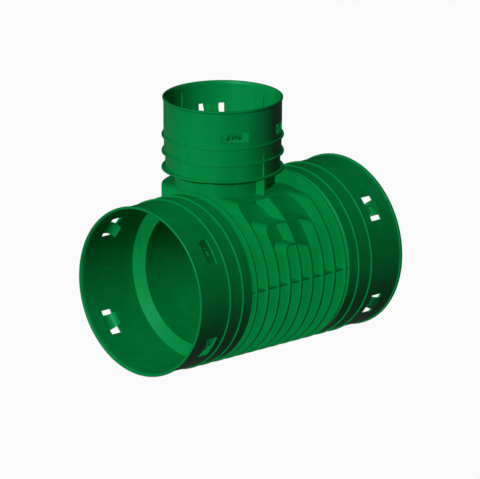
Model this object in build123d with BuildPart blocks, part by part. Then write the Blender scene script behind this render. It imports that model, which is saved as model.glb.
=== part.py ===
from build123d import *
from math import acos, asin, cos, degrees, radians, sin, sqrt
import os

os.makedirs("parts", exist_ok=True)

# Reducing tee for corrugated pipe, moulded in one piece. Millimetres.
# X runs along the main run, Z up the branch, and the origin is at the middle of the run's axis.
# The two mould halves draw apart along Y.

# Branch wall, measured from the branch's own axis; the steps are differences in radius
branch_wall_radius = 62.4
branch_top_flare = 0.4
branch_middle_step = 0.3
branch_low_step = 1.7
branch_rim_step = 1.4
branch_ring_step = 2.2
branch_fin_step = 0.1
branch_rim_width = 1.5
branch_rim_fall = 2.0
branch_ring_width = 2.0

# Neck between run and branch, seen from above: round back, straight sides, bowed front
neck_step = 11.3
neck_wall = 2.4
neck_front_step = 0.4
neck_side_length = 26.2

# Fins across the run and the rib along its mid-height
fin_width = 2.2
fin_neck_gap = 0.5
side_rib_width = 1.6
side_rib_setback = 3.3

# Run wall, measured from the run's axis; the steps are differences in radius
socket_outer_radius = 89.9
rib_step = 1.6
base_step = 13.3
base_wall = 2.4
rim_width = 3.0
socket_ring_width = 2.2

# Lengths along the run
end_fin_gap = 0.4
shoulder_run = 6.0
stop_outer_gap = 1.6
stop_inner_gap = 1.2
socket_depth = 76.0
inner_ring_gap = 13.7
socket_ring_pitch = 18.9

# Inside of each run socket: rounded lead-in, straight mouth, slight taper to the stop shoulder
socket_wall = 2.1
lead_in_depth = 3.5
lead_in_rise = 1.8
mouth_length = 8.5
seat_step = 0.8

# Heights of the branch
branch_ring_low_gap = 11.3
branch_ring_pitch = 17.8
branch_rim_gap = 41.2
branch_fin_gap = 7.4
branch_floor_fall = 6.7

# Inside of the branch socket: rounded lead-in, straight mouth, taper to the floor
branch_wall = 2.0
branch_lead_in_depth = 3.4
branch_lead_in_rise = 1.5
branch_mouth_length = 5.0
branch_seat_step = 2.0

# Arched ribs that step up the neck: each joins a pair of fins with a level shelf
shelf_width = 1.6
shelf_step = 21.4
top_shelf_gap = 8.0
top_arch_corner = 12.0
lower_arch_corner = 9.0

# Clip windows, cut square along Y, with a curled tongue in each
run_window_setback = 20.7
run_window_length = 14.0
run_window_mid_z = 51.75
run_window_height = 23.1
branch_window_setback = 23.9
branch_window_length = 11.5
branch_window_mid_x = 32.9
branch_window_width = 24.6
tongue_thickness = 1.6
tongue_root_overlap = 1.0
run_curl_radius = 9.6
run_tongue_root_width = 17.4
run_tongue_tip_width = 14.2
run_tongue_sink = 0.5
branch_curl_radius = 8.8
branch_tongue_root_width = 17.0
branch_tongue_tip_width = 15.0
branch_tongue_sink = 0.55

# Gusset plate on the outside of each tongue, square to the mould's parting, and the barb across it
gusset_width = 1.7
gusset_offset = 2.2
gusset_sink = 0.3
gusset_fall = 2.2
gusset_length = 11.0
gusset_depth = 16.0
gusset_end_angle = 65.0
barb_width = 10.0
barb_thickness = 1.8
barb_sink = 2.4
run_barb_reach = 10.3
branch_barb_reach = 8.5

# Guide ribs inside the sockets
run_guide_width = 1.2
run_guide_setback = 57.0
run_guide_run_out = 6.0
run_guide_mouth_height = 0.35
run_guide_seat_height = 0.8
branch_guide_width = 2.5
branch_guide_mouth_height = 0.2
branch_guide_seat_height = 1.5
branch_guide_run_in = 5.5
branch_guide_length = 44.0
guide_root = 0.5

rim_round = 1.2
edge_round = 0.5
corner_round = 1.2
cut_overrun = 5.0

# Radii of the run
rib_reach_radius = socket_outer_radius + rib_step
base_outer_radius = socket_outer_radius - base_step
base_bore_radius = base_outer_radius - base_wall
mouth_radius = socket_outer_radius - socket_wall
seat_radius = mouth_radius - seat_step

# Branch: its back is in line with the run's ribs
branch_rim_radius = branch_wall_radius + branch_rim_step
branch_ring_radius = branch_wall_radius + branch_ring_step
branch_fin_radius = branch_wall_radius + branch_fin_step
branch_mouth_radius = branch_wall_radius - branch_wall
branch_seat_radius = branch_mouth_radius - branch_seat_step
branch_back_gap = 0.2
branch_y = rib_reach_radius - branch_ring_radius - branch_back_gap
neck_half_width = branch_wall_radius - neck_step
neck_inner_half_width = neck_half_width - neck_wall
branch_floor_run = branch_ring_radius - neck_half_width + neck_wall / 2
neck_crease_y = branch_y - neck_side_length
neck_front_y = branch_y - neck_half_width + neck_front_step

# Places along the run: the third pair of fins stands at the neck's sides
fin_pitch = (neck_half_width - fin_neck_gap - fin_width / 2) / 3
end_fin_x = 4 * fin_pitch
base_corner_x = end_fin_x + end_fin_gap
socket_corner_x = base_corner_x + shoulder_run
stop_outer_x = socket_corner_x + stop_outer_gap
stop_inner_x = base_corner_x + stop_inner_gap
run_half_length = stop_outer_x + socket_depth
socket_ring_inner_x = socket_corner_x + inner_ring_gap
socket_ring_outer_x = socket_ring_inner_x + socket_ring_pitch
lead_in_x = run_half_length - lead_in_depth
mouth_end_x = lead_in_x - mouth_length
run_window_rim_x = run_half_length - run_window_setback
run_window_mid_x = run_window_rim_x - run_window_length / 2

# Heights
branch_ring_low_z = rib_reach_radius + branch_ring_low_gap
branch_ring_mid_z = branch_ring_low_z + branch_ring_pitch
branch_ring_top_z = branch_ring_mid_z + branch_ring_pitch
branch_rim_z = branch_ring_top_z + branch_rim_gap
branch_fin_top_z = branch_ring_mid_z + branch_fin_gap
branch_floor_z = branch_ring_low_z - branch_ring_width / 2
branch_floor_low_z = branch_floor_z - branch_floor_fall
branch_lead_in_z = branch_rim_z - branch_lead_in_depth
branch_mouth_end_z = branch_lead_in_z - branch_mouth_length
branch_window_rim_z = branch_rim_z - branch_window_setback
branch_window_mid_z = branch_window_rim_z - branch_window_length / 2
top_shelf_z = rib_reach_radius - top_shelf_gap
middle_shelf_z = top_shelf_z - shelf_step
low_shelf_z = middle_shelf_z - shelf_step

# Each tongue faces the axis at the middle of its window's inner side
run_tongue_radius = socket_outer_radius - run_tongue_sink
branch_tongue_radius = branch_wall_radius - branch_tongue_sink
run_tongue_angle = degrees(asin(run_window_mid_z / mouth_radius))
branch_tongue_angle = degrees(acos(branch_window_mid_x / branch_mouth_radius))
run_tongue_angles = (run_tongue_angle, 180 - run_tongue_angle, 180 + run_tongue_angle, -run_tongue_angle)
branch_tongue_angles = (
    branch_tongue_angle,
    180 - branch_tongue_angle,
    180 + branch_tongue_angle,
    -branch_tongue_angle,
)
run_gusset_z = run_window_mid_z + gusset_offset
branch_gusset_x = branch_window_mid_x + gusset_offset

# Ends of the guide ribs
run_guide_end_x = run_half_length - run_guide_setback
branch_guide_full_z = branch_mouth_end_z - branch_guide_run_in
branch_guide_low_z = branch_lead_in_z - branch_guide_length


def clip_tongue(edge, outer_radius, curl_radius, root_width, tip_width, barb_reach):
    """Tongue that runs from its window's edge along -X and curls in. Y runs out from the axis."""
    inner_radius = outer_radius - tongue_thickness
    middle_curl = curl_radius + tongue_thickness / 2
    middle_centre = outer_radius - tongue_thickness / 2 - middle_curl
    tip_radius = inner_radius - curl_radius
    root = edge + tongue_root_overlap
    tip = edge - curl_radius - tongue_thickness
    barb_near = barb_reach - barb_thickness
    with BuildPart() as tongue:
        with BuildSketch(Plane.XY):
            with BuildLine():
                TangentArc((edge, inner_radius), (edge - curl_radius, tip_radius), tangent=(-1, 0))
                Line((edge - curl_radius, tip_radius), (tip, tip_radius))
                TangentArc((edge, outer_radius), (tip, tip_radius), tangent=(-1, 0))
                Polyline(
                    (edge, outer_radius),
                    (root, outer_radius),
                    (root, inner_radius),
                    (edge, inner_radius),
                )
            make_face()
        extrude(amount=root_width / 2, both=True)
        # The sides draw in towards the tip
        with BuildSketch(Plane.XZ):
            with BuildLine():
                Polyline(
                    (root, root_width / 2),
                    (edge, root_width / 2),
                    (tip, tip_width / 2),
                    (tip, -tip_width / 2),
                    (edge, -root_width / 2),
                    (root, -root_width / 2),
                    close=True,
                )
            make_face()
        extrude(amount=outer_radius + cut_overrun, both=True, mode=Mode.INTERSECT)
        # Barb across the outside
        with BuildSketch(Plane.XY):
            with BuildLine():
                Polyline(
                    (edge - barb_near, outer_radius - barb_sink),
                    (edge - barb_reach, outer_radius - barb_sink),
                    (edge - barb_reach, middle_centre + sqrt(middle_curl**2 - barb_reach**2)),
                    (edge - barb_near, middle_centre + sqrt(middle_curl**2 - barb_near**2)),
                    close=True,
                )
            make_face()
        extrude(amount=barb_width / 2, both=True)
    return tongue.part


def gusset_space(edge, outer_radius, curl_radius, width):
    """Space outside the middle of a tongue's thickness, where its gusset stands."""
    middle_curl = curl_radius + tongue_thickness / 2
    middle_radius = outer_radius - tongue_thickness / 2
    root = edge + tongue_root_overlap
    end = edge - middle_curl * sin(radians(gusset_end_angle))
    end_radius = middle_radius - middle_curl * (1 - cos(radians(gusset_end_angle)))
    with BuildPart() as space:
        with BuildSketch(Plane.XY):
            with BuildLine():
                TangentArc((edge, middle_radius), (end, end_radius), tangent=(-1, 0))
                Polyline(
                    (end, end_radius),
                    (end, outer_radius),
                    (root, outer_radius),
                    (root, middle_radius),
                    (edge, middle_radius),
                )
            make_face()
        extrude(amount=width / 2, both=True)
    return space.part


def gusset_corners(edge, wall_distance):
    """Corners of a gusset plate, its front falling away from the wall towards the tongue's tip."""
    front = wall_distance - gusset_sink
    root = edge + tongue_root_overlap
    end = edge - gusset_length
    return (
        (root, front),
        (edge, front),
        (end, front - gusset_fall),
        (end, front - gusset_depth),
        (root, front - gusset_depth),
    )


# Outside of the run, turned about X
with BuildPart() as run_outside:
    with BuildSketch(Plane.XY) as run_profile:
        with BuildLine():
            Polyline(
                (0, 0),
                (run_half_length, 0),
                (run_half_length, rib_reach_radius),
                (run_half_length - rim_width, rib_reach_radius),
                (run_half_length - rim_width, socket_outer_radius),
                (socket_corner_x, socket_outer_radius),
                (base_corner_x, base_outer_radius),
                (0, base_outer_radius),
                (0, 0),
            )
        make_face()
        with Locations(
            (socket_ring_outer_x, rib_reach_radius / 2),
            (socket_ring_inner_x, rib_reach_radius / 2),
            (end_fin_x, rib_reach_radius / 2),
        ):
            Rectangle(socket_ring_width, rib_reach_radius)
        ring_corners = [v for v in run_profile.vertices() if v.Y > rib_reach_radius - 0.01]
        fillet([v for v in ring_corners if v.X < run_half_length - 0.01], radius=edge_round)
        rim_corner = run_profile.vertices().group_by(Axis.X)[-1].sort_by(Axis.Y)[-1]
        fillet(rim_corner, radius=rim_round)
        wall_corner = [v for v in run_profile.vertices() if abs(v.X - socket_corner_x) < 0.01]
        fillet(wall_corner, radius=corner_round)
        mirror(about=Plane.YZ)
    revolve(axis=Axis.X)

# Outside of the branch, turned about its own axis, with a sloped floor between its low ring and the neck
with BuildPart() as branch_outside:
    with BuildSketch(Plane.YZ) as branch_profile:
        with BuildLine():
            Polyline(
                (branch_y, branch_floor_low_z),
                (branch_y + branch_ring_radius - branch_floor_run, branch_floor_low_z),
                (branch_y + branch_ring_radius, branch_floor_z),
                (branch_y + branch_ring_radius, branch_floor_z + branch_ring_width),
                (branch_y + branch_wall_radius - branch_low_step, branch_floor_z + branch_ring_width),
                (branch_y + branch_wall_radius - branch_low_step, branch_ring_mid_z),
                (branch_y + branch_wall_radius - branch_middle_step, branch_ring_mid_z),
                (branch_y + branch_wall_radius - branch_middle_step, branch_ring_top_z),
                (branch_y + branch_wall_radius, branch_ring_top_z),
                (
                    branch_y + branch_wall_radius + branch_top_flare,
                    branch_rim_z - branch_rim_width - branch_rim_fall,
                ),
                (branch_y + branch_rim_radius, branch_rim_z - branch_rim_width),
                (branch_y + branch_rim_radius, branch_rim_z),
                (branch_y, branch_rim_z),
                (branch_y, branch_floor_low_z),
            )
        make_face()
        with Locations(
            (branch_y + branch_ring_radius / 2, branch_ring_top_z),
            (branch_y + branch_ring_radius / 2, branch_ring_mid_z),
        ):
            Rectangle(branch_ring_radius, branch_ring_width)
        ring_corners = [v for v in branch_profile.vertices() if v.X > branch_y + branch_rim_radius - 0.01]
        fillet(ring_corners, radius=edge_round)
    revolve(axis=Axis((0, branch_y, 0), (0, 0, 1)))

# Neck, upright walls on the plan outline
with BuildPart() as neck_outside:
    with BuildSketch(Plane.XY):
        with BuildLine():
            Line((neck_half_width, neck_crease_y), (neck_half_width, branch_y))
            ThreePointArc(
                (neck_half_width, branch_y),
                (0, branch_y + neck_half_width),
                (-neck_half_width, branch_y),
            )
            Line((-neck_half_width, branch_y), (-neck_half_width, neck_crease_y))
            ThreePointArc(
                (-neck_half_width, neck_crease_y),
                (0, neck_front_y),
                (neck_half_width, neck_crease_y),
            )
        make_face()
    extrude(amount=branch_ring_low_z)

with BuildPart() as neck_cavity:
    with BuildSketch(Plane.XY):
        with BuildLine():
            Line((neck_inner_half_width, neck_crease_y), (neck_inner_half_width, branch_y))
            ThreePointArc(
                (neck_inner_half_width, branch_y),
                (0, branch_y + neck_inner_half_width),
                (-neck_inner_half_width, branch_y),
            )
            Line((-neck_inner_half_width, branch_y), (-neck_inner_half_width, neck_crease_y))
            ThreePointArc(
                (-neck_inner_half_width, neck_crease_y),
                (0, neck_front_y + neck_wall),
                (neck_inner_half_width, neck_crease_y),
            )
        make_face()
    extrude(amount=branch_floor_z + cut_overrun)

# Space that the ribs may fill: around the run, and above its middle also around the branch
with BuildPart() as rib_limit:
    with BuildSketch(Plane.YZ):
        Circle(rib_reach_radius)
    extrude(amount=socket_corner_x, both=True)
    with BuildSketch(Plane.XY):
        with Locations((0, branch_y)):
            Circle(branch_ring_radius)
    extrude(amount=top_shelf_z)

# Arched ribs: two fins and a shelf each
with BuildPart() as ribs:
    for fin_x, shelf_z, arch_corner in (
        (3 * fin_pitch, top_shelf_z, top_arch_corner),
        (2 * fin_pitch, middle_shelf_z, lower_arch_corner),
        (fin_pitch, low_shelf_z, lower_arch_corner),
    ):
        arch_half_width = fin_x + fin_width / 2
        arch_inner_half_width = fin_x - fin_width / 2
        with BuildSketch(Plane.XZ) as arch:
            with Locations((0, shelf_z)):
                Rectangle(
                    2 * arch_half_width,
                    shelf_z + rib_reach_radius + cut_overrun,
                    align=(Align.CENTER, Align.MAX),
                )
            top_corners = [v for v in arch.vertices() if v.Y > 0]
            fillet(top_corners, radius=arch_corner)
            with BuildSketch(mode=Mode.SUBTRACT) as arch_inside:
                with Locations((0, shelf_z - shelf_width)):
                    Rectangle(
                        2 * arch_inner_half_width,
                        shelf_z + rib_reach_radius + 2 * cut_overrun,
                        align=(Align.CENTER, Align.MAX),
                    )
                inside_corners = [v for v in arch_inside.vertices() if v.Y > 0]
                fillet(inside_corners, radius=arch_corner - shelf_width)
        extrude(amount=rib_reach_radius + cut_overrun, both=True)
    # Middle fin
    with BuildSketch(Plane.XZ):
        with Locations((0, top_shelf_z)):
            Rectangle(
                fin_width,
                top_shelf_z + rib_reach_radius + cut_overrun,
                align=(Align.CENTER, Align.MAX),
            )
    extrude(amount=rib_reach_radius + cut_overrun, both=True)
    # Side rib
    with BuildSketch(Plane.XZ):
        Rectangle(2 * socket_corner_x, side_rib_width)
    extrude(amount=rib_reach_radius - side_rib_setback, both=True)
    add(rib_limit.part, mode=Mode.INTERSECT)

# One tongue of each size, and the space for its gusset
run_tongue = clip_tongue(
    run_window_rim_x,
    run_tongue_radius,
    run_curl_radius,
    run_tongue_root_width,
    run_tongue_tip_width,
    run_barb_reach,
)
branch_tongue = clip_tongue(
    branch_window_rim_z,
    branch_tongue_radius,
    branch_curl_radius,
    branch_tongue_root_width,
    branch_tongue_tip_width,
    branch_barb_reach,
)
run_gusset_space = gusset_space(
    run_window_rim_x,
    run_tongue_radius,
    run_curl_radius,
    run_tongue_tip_width,
)
branch_gusset_space = gusset_space(
    branch_window_rim_z,
    branch_tongue_radius,
    branch_curl_radius,
    branch_tongue_tip_width,
)

# Where the tongues stand: X along the wall towards the rim, Y out from the axis
run_tongue_planes = [
    Plane(
        origin=(0, 0, 0),
        x_dir=(side, 0, 0),
        z_dir=(0, -side * sin(radians(angle)), side * cos(radians(angle))),
    )
    for side in (1, -1)
    for angle in run_tongue_angles
]
branch_tongue_planes = [
    Plane(
        origin=(0, branch_y, 0),
        x_dir=(0, 0, 1),
        z_dir=(-sin(radians(angle)), cos(radians(angle)), 0),
    )
    for angle in branch_tongue_angles
]

# Gussets of the run sockets: level plates
run_gusset_corners = gusset_corners(
    run_window_rim_x,
    sqrt(run_tongue_radius**2 - run_gusset_z**2),
)
with BuildPart() as run_gusset_limit:
    with Locations(*run_tongue_planes):
        add(run_gusset_space)
with BuildPart() as run_gussets:
    for height in (run_gusset_z, -run_gusset_z):
        with BuildSketch(Plane.XY.offset(height)):
            with BuildLine():
                Polyline(*run_gusset_corners, close=True)
            make_face()
            mirror(about=Plane.YZ)
            mirror(about=Plane.XZ)
        extrude(amount=gusset_width / 2, both=True)
    add(run_gusset_limit.part, mode=Mode.INTERSECT)

# Gussets of the branch socket: upright plates across the run
branch_gusset_corners = gusset_corners(
    branch_window_rim_z,
    sqrt(branch_tongue_radius**2 - branch_gusset_x**2),
)
with BuildPart() as branch_gusset_limit:
    with Locations(*branch_tongue_planes):
        add(branch_gusset_space)
with BuildPart() as branch_gussets:
    for along in (branch_gusset_x, -branch_gusset_x):
        with BuildSketch(Plane(origin=(along, branch_y, 0), x_dir=(0, 0, 1), z_dir=(1, 0, 0))):
            with BuildLine():
                Polyline(*branch_gusset_corners, close=True)
            make_face()
            mirror(about=Plane.XZ)
        extrude(amount=gusset_width / 2, both=True)
    add(branch_gusset_limit.part, mode=Mode.INTERSECT)

with BuildPart() as tee_body:
    add(run_outside.part)
    add(branch_outside.part)
    add(neck_outside.part)
    add(ribs.part)
    # Fin up the front and back of the branch
    with BuildSketch(Plane.XZ.offset(-branch_y)):
        with Locations((0, top_shelf_z - shelf_width)):
            Rectangle(
                fin_width,
                branch_fin_top_z - top_shelf_z + shelf_width,
                align=(Align.CENTER, Align.MIN),
            )
    extrude(amount=branch_fin_radius, both=True)

    # Bore of the run with both sockets
    with BuildSketch(Plane.XY):
        with BuildLine():
            Polyline(
                (run_half_length, mouth_radius + lead_in_rise),
                (run_half_length + cut_overrun, mouth_radius + lead_in_rise),
                (run_half_length + cut_overrun, 0),
                (0, 0),
                (0, base_bore_radius),
                (stop_inner_x, base_bore_radius),
                (stop_outer_x, seat_radius),
                (mouth_end_x, mouth_radius),
                (lead_in_x, mouth_radius),
            )
            TangentArc(
                (lead_in_x, mouth_radius),
                (run_half_length, mouth_radius + lead_in_rise),
                tangent=(1, 0),
            )
        make_face()
        mirror(about=Plane.YZ)
    revolve(axis=Axis.X, mode=Mode.SUBTRACT)

    # Way up through the neck
    add(neck_cavity.part, mode=Mode.SUBTRACT)

    # Branch socket
    with BuildSketch(Plane.YZ):
        with BuildLine():
            Polyline(
                (branch_y + branch_mouth_radius + branch_lead_in_rise, branch_rim_z),
                (branch_y + branch_mouth_radius + branch_lead_in_rise, branch_rim_z + cut_overrun),
                (branch_y, branch_rim_z + cut_overrun),
                (branch_y, branch_floor_low_z),
                (branch_y + branch_seat_radius - branch_floor_run, branch_floor_low_z),
                (branch_y + branch_seat_radius, branch_floor_z),
                (branch_y + branch_mouth_radius, branch_mouth_end_z),
                (branch_y + branch_mouth_radius, branch_lead_in_z),
            )
            TangentArc(
                (branch_y + branch_mouth_radius, branch_lead_in_z),
                (branch_y + branch_mouth_radius + branch_lead_in_rise, branch_rim_z),
                tangent=(0, 1),
            )
        make_face()
    revolve(axis=Axis((0, branch_y, 0), (0, 0, 1)), mode=Mode.SUBTRACT)

    # Windows in the run sockets
    with BuildSketch(Plane.XZ):
        with Locations(
            (run_window_mid_x, run_window_mid_z),
            (-run_window_mid_x, run_window_mid_z),
            (run_window_mid_x, -run_window_mid_z),
            (-run_window_mid_x, -run_window_mid_z),
        ):
            Rectangle(run_window_length, run_window_height)
    extrude(amount=rib_reach_radius, both=True, mode=Mode.SUBTRACT)

    # Windows in the branch socket
    with BuildSketch(Plane.XZ.offset(-branch_y)):
        with Locations(
            (branch_window_mid_x, branch_window_mid_z),
            (-branch_window_mid_x, branch_window_mid_z),
        ):
            Rectangle(branch_window_width, branch_window_length)
    extrude(amount=branch_ring_radius, both=True, mode=Mode.SUBTRACT)

    # Tongues and their gussets
    with Locations(*run_tongue_planes):
        add(run_tongue)
    with Locations(*branch_tongue_planes):
        add(branch_tongue)
    add(run_gussets.part)
    add(branch_gussets.part)

    # Guide ribs at mid-height in the run sockets
    with BuildSketch(Plane.XY):
        with BuildLine():
            Polyline(
                (run_guide_end_x, seat_radius),
                (run_guide_end_x + run_guide_run_out, seat_radius - run_guide_seat_height),
                (mouth_end_x - run_guide_run_out, mouth_radius - run_guide_seat_height),
                (mouth_end_x, mouth_radius - run_guide_mouth_height),
                (lead_in_x, mouth_radius - run_guide_mouth_height),
                (lead_in_x, mouth_radius + guide_root),
                (run_guide_end_x, mouth_radius + guide_root),
                close=True,
            )
        make_face()
        mirror(about=Plane.YZ)
        mirror(about=Plane.XZ)
    extrude(amount=run_guide_width / 2, both=True)

    # Guide ribs in the branch socket, in line with the run and across it
    for guide_plane in (
        Plane(origin=(0, branch_y, 0), x_dir=(1, 0, 0), z_dir=(0, -1, 0)),
        Plane(origin=(0, branch_y, 0), x_dir=(0, 1, 0), z_dir=(1, 0, 0)),
    ):
        with BuildSketch(guide_plane):
            with BuildLine():
                Polyline(
                    (branch_mouth_radius, branch_lead_in_z),
                    (branch_mouth_radius - branch_guide_mouth_height, branch_mouth_end_z),
                    (branch_mouth_radius - branch_guide_seat_height, branch_guide_full_z),
                    (branch_seat_radius - branch_guide_seat_height / 2, branch_guide_low_z),
                    (branch_mouth_radius + guide_root, branch_guide_low_z),
                    (branch_mouth_radius + guide_root, branch_lead_in_z),
                    close=True,
                )
            make_face()
            mirror(about=Plane.YZ)
        extrude(amount=branch_guide_width / 2, both=True)

tee_body.part.label = "tee_body"
export_step(tee_body.part, "parts/tee_body.step")
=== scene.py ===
import math

import bpy
from bpy.props import FloatProperty, FloatVectorProperty, PointerProperty
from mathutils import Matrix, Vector


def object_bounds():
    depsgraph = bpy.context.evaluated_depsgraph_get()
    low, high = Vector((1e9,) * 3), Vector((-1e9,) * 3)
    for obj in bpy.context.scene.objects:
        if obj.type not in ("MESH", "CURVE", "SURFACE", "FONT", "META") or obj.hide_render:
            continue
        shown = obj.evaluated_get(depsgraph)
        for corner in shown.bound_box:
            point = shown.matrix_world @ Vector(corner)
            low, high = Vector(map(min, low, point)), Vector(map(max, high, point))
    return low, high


bl_info = {
    "name": "Reducing tee",
    "version": (1, 0, 0),
    "blender": (4, 5, 0),
    "location": "View3D > Sidebar > Reducing Tee",
    "description": "Finishes a moulded reducing tee and sets it on a plain stage",
    "category": "Object",
}

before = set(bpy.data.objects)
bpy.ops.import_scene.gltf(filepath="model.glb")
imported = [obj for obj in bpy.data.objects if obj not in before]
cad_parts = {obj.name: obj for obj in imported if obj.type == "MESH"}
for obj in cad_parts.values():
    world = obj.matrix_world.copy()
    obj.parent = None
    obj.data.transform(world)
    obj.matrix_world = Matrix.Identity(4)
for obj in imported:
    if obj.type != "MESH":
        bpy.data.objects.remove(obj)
cad_box = [list(corner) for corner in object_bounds()]
floor_height = cad_box[0][2]


class TeePlasticSettings(bpy.types.PropertyGroup):
    """Colours and surface of the moulded polyethylene"""

    green: FloatVectorProperty(
        name="Green",
        description="Colour of the polyethylene",
        subtype="COLOR",
        size=3,
        min=0.0,
        max=1.0,
        default=(0.0, 0.250, 0.052),
    )
    # Also laid along every edge, where it is partly wear and partly a painted highlight.
    light_green: FloatVectorProperty(
        name="Light green",
        description="Colour where the melt ran thin or the surface is rubbed",
        subtype="COLOR",
        size=3,
        min=0.0,
        max=1.0,
        default=(0.004, 0.305, 0.074),
    )
    deep_green: FloatVectorProperty(
        name="Deep green",
        description="Colour where the pigment is densest",
        subtype="COLOR",
        size=3,
        min=0.0,
        max=1.0,
        default=(0.0, 0.205, 0.040),
    )
    # Also sets the width of the lighter edge band, which is partly a painted highlight.
    edge_radius: FloatProperty(
        name="Edge radius",
        description="Radius to which the light sees every edge rounded",
        unit="LENGTH",
        default=0.0003,
    )
    grain_size: FloatProperty(
        name="Grain size",
        description="Size of the fine grain left by the mould",
        unit="LENGTH",
        default=0.0012,
    )
    grain_height: FloatProperty(
        name="Grain height",
        description="Height of the fine grain",
        unit="LENGTH",
        default=0.00003,
    )
    ripple_size: FloatProperty(
        name="Ripple size",
        description="Size of the slow ripples from shrinkage",
        unit="LENGTH",
        default=0.028,
    )
    ripple_height: FloatProperty(
        name="Ripple height",
        description="Height of the slow ripples",
        unit="LENGTH",
        default=0.00012,
    )
    gloss: FloatProperty(
        name="Gloss",
        description="Strength of the highlights",
        default=0.3,
    )
    gloss_colour: FloatVectorProperty(
        name="Gloss colour",
        description="Colour of the highlights seen straight on",
        subtype="COLOR",
        size=3,
        min=0.0,
        max=1.0,
        default=(0.15, 1.0, 0.55),
    )
    refraction: FloatProperty(
        name="Refraction",
        description="Refractive index of the polyethylene",
        default=1.53,
    )
    drift_scale: FloatProperty(
        name="Drift scale",
        description="How often the slow colour drift repeats in a metre",
        default=9.0,
    )
    streak_scale: FloatProperty(
        name="Streak scale",
        description="How often the flow streaks repeat in a metre",
        default=60.0,
    )
    scuff_scale: FloatProperty(
        name="Scuff scale",
        description="How often the duller scuffs repeat in a metre",
        default=220.0,
    )
    drift_share: FloatProperty(
        name="Drift share",
        description="Most that the drift turns the green deep",
        default=0.55,
    )
    streak_share: FloatProperty(
        name="Streak share",
        description="Most that the streaks turn the green light",
        default=0.35,
    )
    speckle_share: FloatProperty(
        name="Speckle share",
        description="Most that the grain turns the green deep",
        default=0.18,
    )


class TeeStageSettings(bpy.types.PropertyGroup):
    """Floor, lamps and camera"""

    floor_colour: FloatVectorProperty(
        name="Floor colour",
        description="Colour of the floor",
        subtype="COLOR",
        size=3,
        min=0.0,
        max=1.0,
        default=(0.06, 0.06, 0.06),
    )
    floor_glow: FloatProperty(
        name="Floor glow",
        description="Brightness added to the floor where the camera sees it",
        default=0.93,
    )
    floor_gloss: FloatProperty(
        name="Floor gloss",
        description="Share of the glow that shows in reflections",
        default=0.1,
    )
    floor_size: FloatProperty(
        name="Floor size",
        description="Width of the floor",
        unit="LENGTH",
        default=8.0,
    )
    key_strength: FloatProperty(
        name="Key strength",
        description="Strength of the lamp that casts shadows",
        default=0.4,
    )
    even_strength: FloatProperty(
        name="Even strength",
        description="Strength of the lamp without shadows, which gives most of the light",
        default=2.6,
    )
    key_azimuth: FloatProperty(
        name="Key azimuth",
        description="Direction that both lamps stand in, from +X towards +Y",
        subtype="ANGLE",
        default=math.radians(196.0),
    )
    key_elevation: FloatProperty(
        name="Key elevation",
        description="Height of both lamps above the horizon",
        subtype="ANGLE",
        default=math.radians(27.0),
    )
    lamp_softness: FloatProperty(
        name="Lamp softness",
        description="Angle that each lamp fills in the sky",
        subtype="ANGLE",
        default=math.radians(18.0),
    )
    sky_strength: FloatProperty(
        name="Sky strength",
        description="Strength of the light from all round",
        default=0.01,
    )
    camera_azimuth: FloatProperty(
        name="Camera azimuth",
        description="Direction that the camera stands in, from -Y towards +X",
        subtype="ANGLE",
        default=math.radians(-45.0),
    )
    camera_elevation: FloatProperty(
        name="Camera elevation",
        description="Height of the camera above the horizon",
        subtype="ANGLE",
        default=math.radians(15.46),
    )
    stand_distance: FloatProperty(
        name="Stand distance",
        description="How far the camera and the lamps stand from the tee",
        unit="LENGTH",
        default=1.5,
    )
    view_width: FloatProperty(
        name="View width",
        description="Width that the camera takes in",
        unit="LENGTH",
        default=0.50544,
    )
    view_right: FloatProperty(
        name="View right",
        description="How far right of the run's middle the picture is centred",
        unit="LENGTH",
        default=-0.00068,
    )
    view_up: FloatProperty(
        name="View up",
        description="How far above the run's middle the picture is centred",
        unit="LENGTH",
        default=0.02696,
    )


def settings():
    return bpy.context.scene.tee_plastic, bpy.context.scene.tee_stage


def aim(obj, back, place=(0.0, 0.0, 0.0)):
    """Turns a lamp or camera so that it looks against back."""
    obj.rotation_mode = "QUATERNION"
    obj.rotation_quaternion = (-back).to_track_quat("-Z", "Y")
    obj.location = place


def direction(azimuth, elevation):
    return Vector((
        math.cos(azimuth) * math.cos(elevation),
        math.sin(azimuth) * math.cos(elevation),
        math.sin(elevation),
    ))


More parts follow.
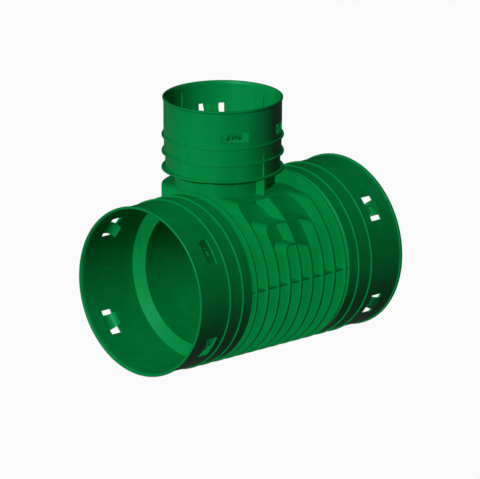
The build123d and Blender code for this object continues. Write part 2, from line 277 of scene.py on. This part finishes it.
def moulded_polyethylene(look):
    """Green polyethylene with slow colour drift, fine grain, faint flow streaks, and edges made
    lighter, partly as wear and partly as a painted highlight.
    """
    material = bpy.data.materials.new("green_polyethylene")
    material.use_nodes = True
    nodes, links = material.node_tree.nodes, material.node_tree.links
    nodes.clear()
    output = nodes.new("ShaderNodeOutputMaterial")
    plastic = nodes.new("ShaderNodeBsdfPrincipled")
    plastic.inputs["Specular IOR Level"].default_value = look.gloss
    plastic.inputs["Specular Tint"].default_value = (*look.gloss_colour, 1.0)
    plastic.inputs["IOR"].default_value = look.refraction
    links.new(plastic.outputs["BSDF"], output.inputs["Surface"])

    place = nodes.new("ShaderNodeTexCoord")

    def noise(scale, detail, roughness=0.5, stretch=None):
        pattern = nodes.new("ShaderNodeTexNoise")
        pattern.inputs["Scale"].default_value = scale
        pattern.inputs["Detail"].default_value = detail
        pattern.inputs["Roughness"].default_value = roughness
        source = place.outputs["Object"]
        if stretch:
            mapping = nodes.new("ShaderNodeMapping")
            mapping.inputs["Scale"].default_value = stretch
            links.new(source, mapping.inputs["Vector"])
            source = mapping.outputs["Vector"]
        links.new(source, pattern.inputs["Vector"])
        return pattern.outputs["Fac"]

    def spread(value, low, high, to_low, to_high):
        node = nodes.new("ShaderNodeMapRange")
        node.interpolation_type = "SMOOTHSTEP"
        node.inputs["From Min"].default_value = low
        node.inputs["From Max"].default_value = high
        node.inputs["To Min"].default_value = to_low
        node.inputs["To Max"].default_value = to_high
        links.new(value, node.inputs["Value"])
        return node.outputs["Result"]

    def tint(amount, under, colour):
        node = nodes.new("ShaderNodeMix")
        node.data_type = "RGBA"
        links.new(amount, node.inputs["Factor"])
        if isinstance(under, bpy.types.NodeSocket):
            links.new(under, node.inputs[6])
        else:
            node.inputs[6].default_value = (*under, 1.0)
        node.inputs[7].default_value = (*colour, 1.0)
        return node.outputs[2]

    def compute(operation, first, second):
        node = nodes.new("ShaderNodeMath")
        node.operation = operation
        for socket, value in zip(node.inputs, (first, second)):
            if isinstance(value, bpy.types.NodeSocket):
                links.new(value, socket)
            else:
                socket.default_value = value
        return node.outputs[0]

    drift = noise(look.drift_scale, 3.0)
    streaks = noise(look.streak_scale, 4.0, 0.6, stretch=(1.0, 1.0, 0.12))
    speckle = noise(1.0 / look.grain_size, 2.0, 0.6)

    rounded = nodes.new("ShaderNodeBevel")
    rounded.samples = 6
    rounded.inputs["Radius"].default_value = look.edge_radius
    surface = nodes.new("ShaderNodeNewGeometry")
    agreement = nodes.new("ShaderNodeVectorMath")
    agreement.operation = "DOT_PRODUCT"
    links.new(rounded.outputs["Normal"], agreement.inputs[0])
    links.new(surface.outputs["Normal"], agreement.inputs[1])
    # Mask of the edges, where the bevel's rounded normal turns away from the surface's own; it
    # carries the lighter edge band, partly wear and partly a painted highlight.
    edge = spread(agreement.outputs["Value"], 0.995, 0.80, 0.0, 1.0)

    deepened = spread(drift, 0.38, 0.62, 0.0, look.drift_share)
    lightened = spread(streaks, 0.45, 0.70, 0.0, look.streak_share)
    speckled = spread(speckle, 0.55, 0.75, 0.0, look.speckle_share)
    colour = tint(deepened, look.green, look.deep_green)
    colour = tint(lightened, colour, look.light_green)
    colour = tint(speckled, colour, look.deep_green)
    # Lighter green along every edge: partly worn plastic, partly a painted highlight standing in for
    # light caught by rounded edges.
    wear_and_painted_edge_highlight = compute("MULTIPLY", edge, spread(drift, 0.30, 0.70, 0.35, 0.85))
    colour = tint(wear_and_painted_edge_highlight, colour, look.light_green)
    links.new(colour, plastic.inputs["Base Color"])

    scuffs = noise(look.scuff_scale, 5.0, 0.7, stretch=(0.25, 1.0, 1.0))
    sheen = compute(
        "ADD",
        spread(drift, 0.30, 0.70, 0.40, 0.47),
        spread(scuffs, 0.52, 0.72, 0.0, 0.10),
    )
    links.new(sheen, plastic.inputs["Roughness"])

    ripple = nodes.new("ShaderNodeBump")
    ripple.inputs["Distance"].default_value = look.ripple_height
    links.new(noise(1.0 / look.ripple_size, 1.0), ripple.inputs["Height"])
    links.new(rounded.outputs["Normal"], ripple.inputs["Normal"])
    grain = nodes.new("ShaderNodeBump")
    grain.inputs["Distance"].default_value = look.grain_height
    links.new(speckle, grain.inputs["Height"])
    links.new(ripple.outputs["Normal"], grain.inputs["Normal"])
    links.new(grain.outputs["Normal"], plastic.inputs["Normal"])
    return material


class TEE_OT_body(bpy.types.Operator):
    """Give the moulded body its polyethylene finish"""

    bl_idname = "tee.body"
    bl_label = "Moulded Body"
    bl_options = {"REGISTER", "UNDO"}

    def execute(self, context):
        look, _ = settings()
        material = moulded_polyethylene(look)
        material.diffuse_color = (*look.green, 1.0)
        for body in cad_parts.values():
            body.data.materials.clear()
            body.data.materials.append(material)
        return {"FINISHED"}


class TEE_OT_stage(bpy.types.Operator):
    """Add the floor, the light from all round, the lamps and the camera"""

    bl_idname = "tee.stage"
    bl_label = "Stage"
    bl_options = {"REGISTER", "UNDO"}

    def floor(self, stage):
        bpy.ops.object.select_all(action="DESELECT")
        bpy.ops.mesh.primitive_plane_add(size=stage.floor_size, location=(0.0, 0.0, floor_height))
        bpy.ops.object.transform_apply(location=True, rotation=True, scale=True)
        floor = bpy.context.object
        floor.name = "floor"
        material = bpy.data.materials.new("pale_floor")
        material.use_nodes = True
        nodes, links = material.node_tree.nodes, material.node_tree.links
        paint = nodes["Principled BSDF"]
        paint.inputs["Roughness"].default_value = 0.9
        paint.inputs["Specular IOR Level"].default_value = 0.1
        paint.inputs["Base Color"].default_value = (*stage.floor_colour, 1.0)
        paint.inputs["Emission Color"].default_value = (1.0, 1.0, 1.0, 1.0)
        rays = nodes.new("ShaderNodeLightPath")
        seen = nodes.new("ShaderNodeMath")
        seen.operation = "MULTIPLY_ADD"
        links.new(rays.outputs["Is Glossy Ray"], seen.inputs[0])
        seen.inputs[1].default_value = stage.floor_gloss
        links.new(rays.outputs["Is Camera Ray"], seen.inputs[2])
        through = nodes.new("ShaderNodeMath")
        through.operation = "ADD"
        through.use_clamp = True
        links.new(seen.outputs[0], through.inputs[0])
        links.new(rays.outputs["Is Transmission Ray"], through.inputs[1])
        glow = nodes.new("ShaderNodeMath")
        glow.operation = "MULTIPLY"
        glow.inputs[1].default_value = stage.floor_glow
        links.new(through.outputs[0], glow.inputs[0])
        links.new(glow.outputs[0], paint.inputs["Emission Strength"])
        floor.data.materials.append(material)

    def sky(self, stage):
        world = bpy.data.worlds.new("plain_sky")
        bpy.context.scene.world = world
        world.use_nodes = True
        sky = world.node_tree.nodes["Background"]
        sky.inputs["Color"].default_value = (0.95, 0.98, 1.0, 1.0)
        sky.inputs["Strength"].default_value = stage.sky_strength

    def lamp(self, stage, name, strength, shadow):
        bpy.ops.object.light_add(type="SUN")
        lamp = bpy.context.object
        lamp.name = name
        lamp.data.energy = strength
        lamp.data.angle = stage.lamp_softness
        lamp.data.use_shadow = shadow
        back = direction(stage.key_azimuth, stage.key_elevation)
        aim(lamp, back, back * stage.stand_distance)

    def camera(self, stage):
        bpy.ops.object.camera_add()
        camera = bpy.context.object
        camera.name = "photo_camera"
        camera.data.type = "ORTHO"
        camera.data.ortho_scale = stage.view_width
        camera.data.clip_start = 0.01
        camera.data.clip_end = 20.0
        back = direction(stage.camera_azimuth - math.pi / 2, stage.camera_elevation)
        aim(camera, back)
        turn = camera.rotation_quaternion.to_matrix()
        middle = turn @ Vector((stage.view_right, stage.view_up, 0.0))
        camera.location = middle + back * stage.stand_distance
        bpy.context.scene.camera = camera

    def execute(self, context):
        _, stage = settings()
        self.floor(stage)
        self.sky(stage)
        self.lamp(stage, "key_lamp", stage.key_strength, True)
        self.lamp(stage, "even_lamp", stage.even_strength, False)
        self.camera(stage)
        bpy.context.scene.view_settings.view_transform = "Standard"
        return {"FINISHED"}


class TEE_PT_panel(bpy.types.Panel):
    """Lists the tee's pieces and their settings"""
    # Lists the tee's settings, each group with the button that applies it

    bl_idname = "TEE_PT_panel"
    bl_label = "Reducing Tee"
    bl_space_type = "VIEW_3D"
    bl_region_type = "UI"
    bl_category = "Reducing Tee"

    def draw(self, context):
        look, stage = settings()
        for group, operator in ((look, TEE_OT_body), (stage, TEE_OT_stage)):
            box = self.layout.box()
            for name in group.__annotations__:
                box.prop(group, name)
            box.operator(operator.bl_idname)


classes = (TeePlasticSettings, TeeStageSettings, TEE_OT_body, TEE_OT_stage, TEE_PT_panel)


def register():
    for item in classes:
        bpy.utils.register_class(item)
    bpy.types.Scene.tee_plastic = PointerProperty(type=TeePlasticSettings)
    bpy.types.Scene.tee_stage = PointerProperty(type=TeeStageSettings)


def unregister():
    del bpy.types.Scene.tee_stage
    del bpy.types.Scene.tee_plastic
    for item in reversed(classes):
        bpy.utils.unregister_class(item)


def main():
    register()
    bpy.ops.tee.body()
    bpy.ops.tee.stage()
    bpy.context.view_layer.update()


if __name__ == "__main__":
    main()
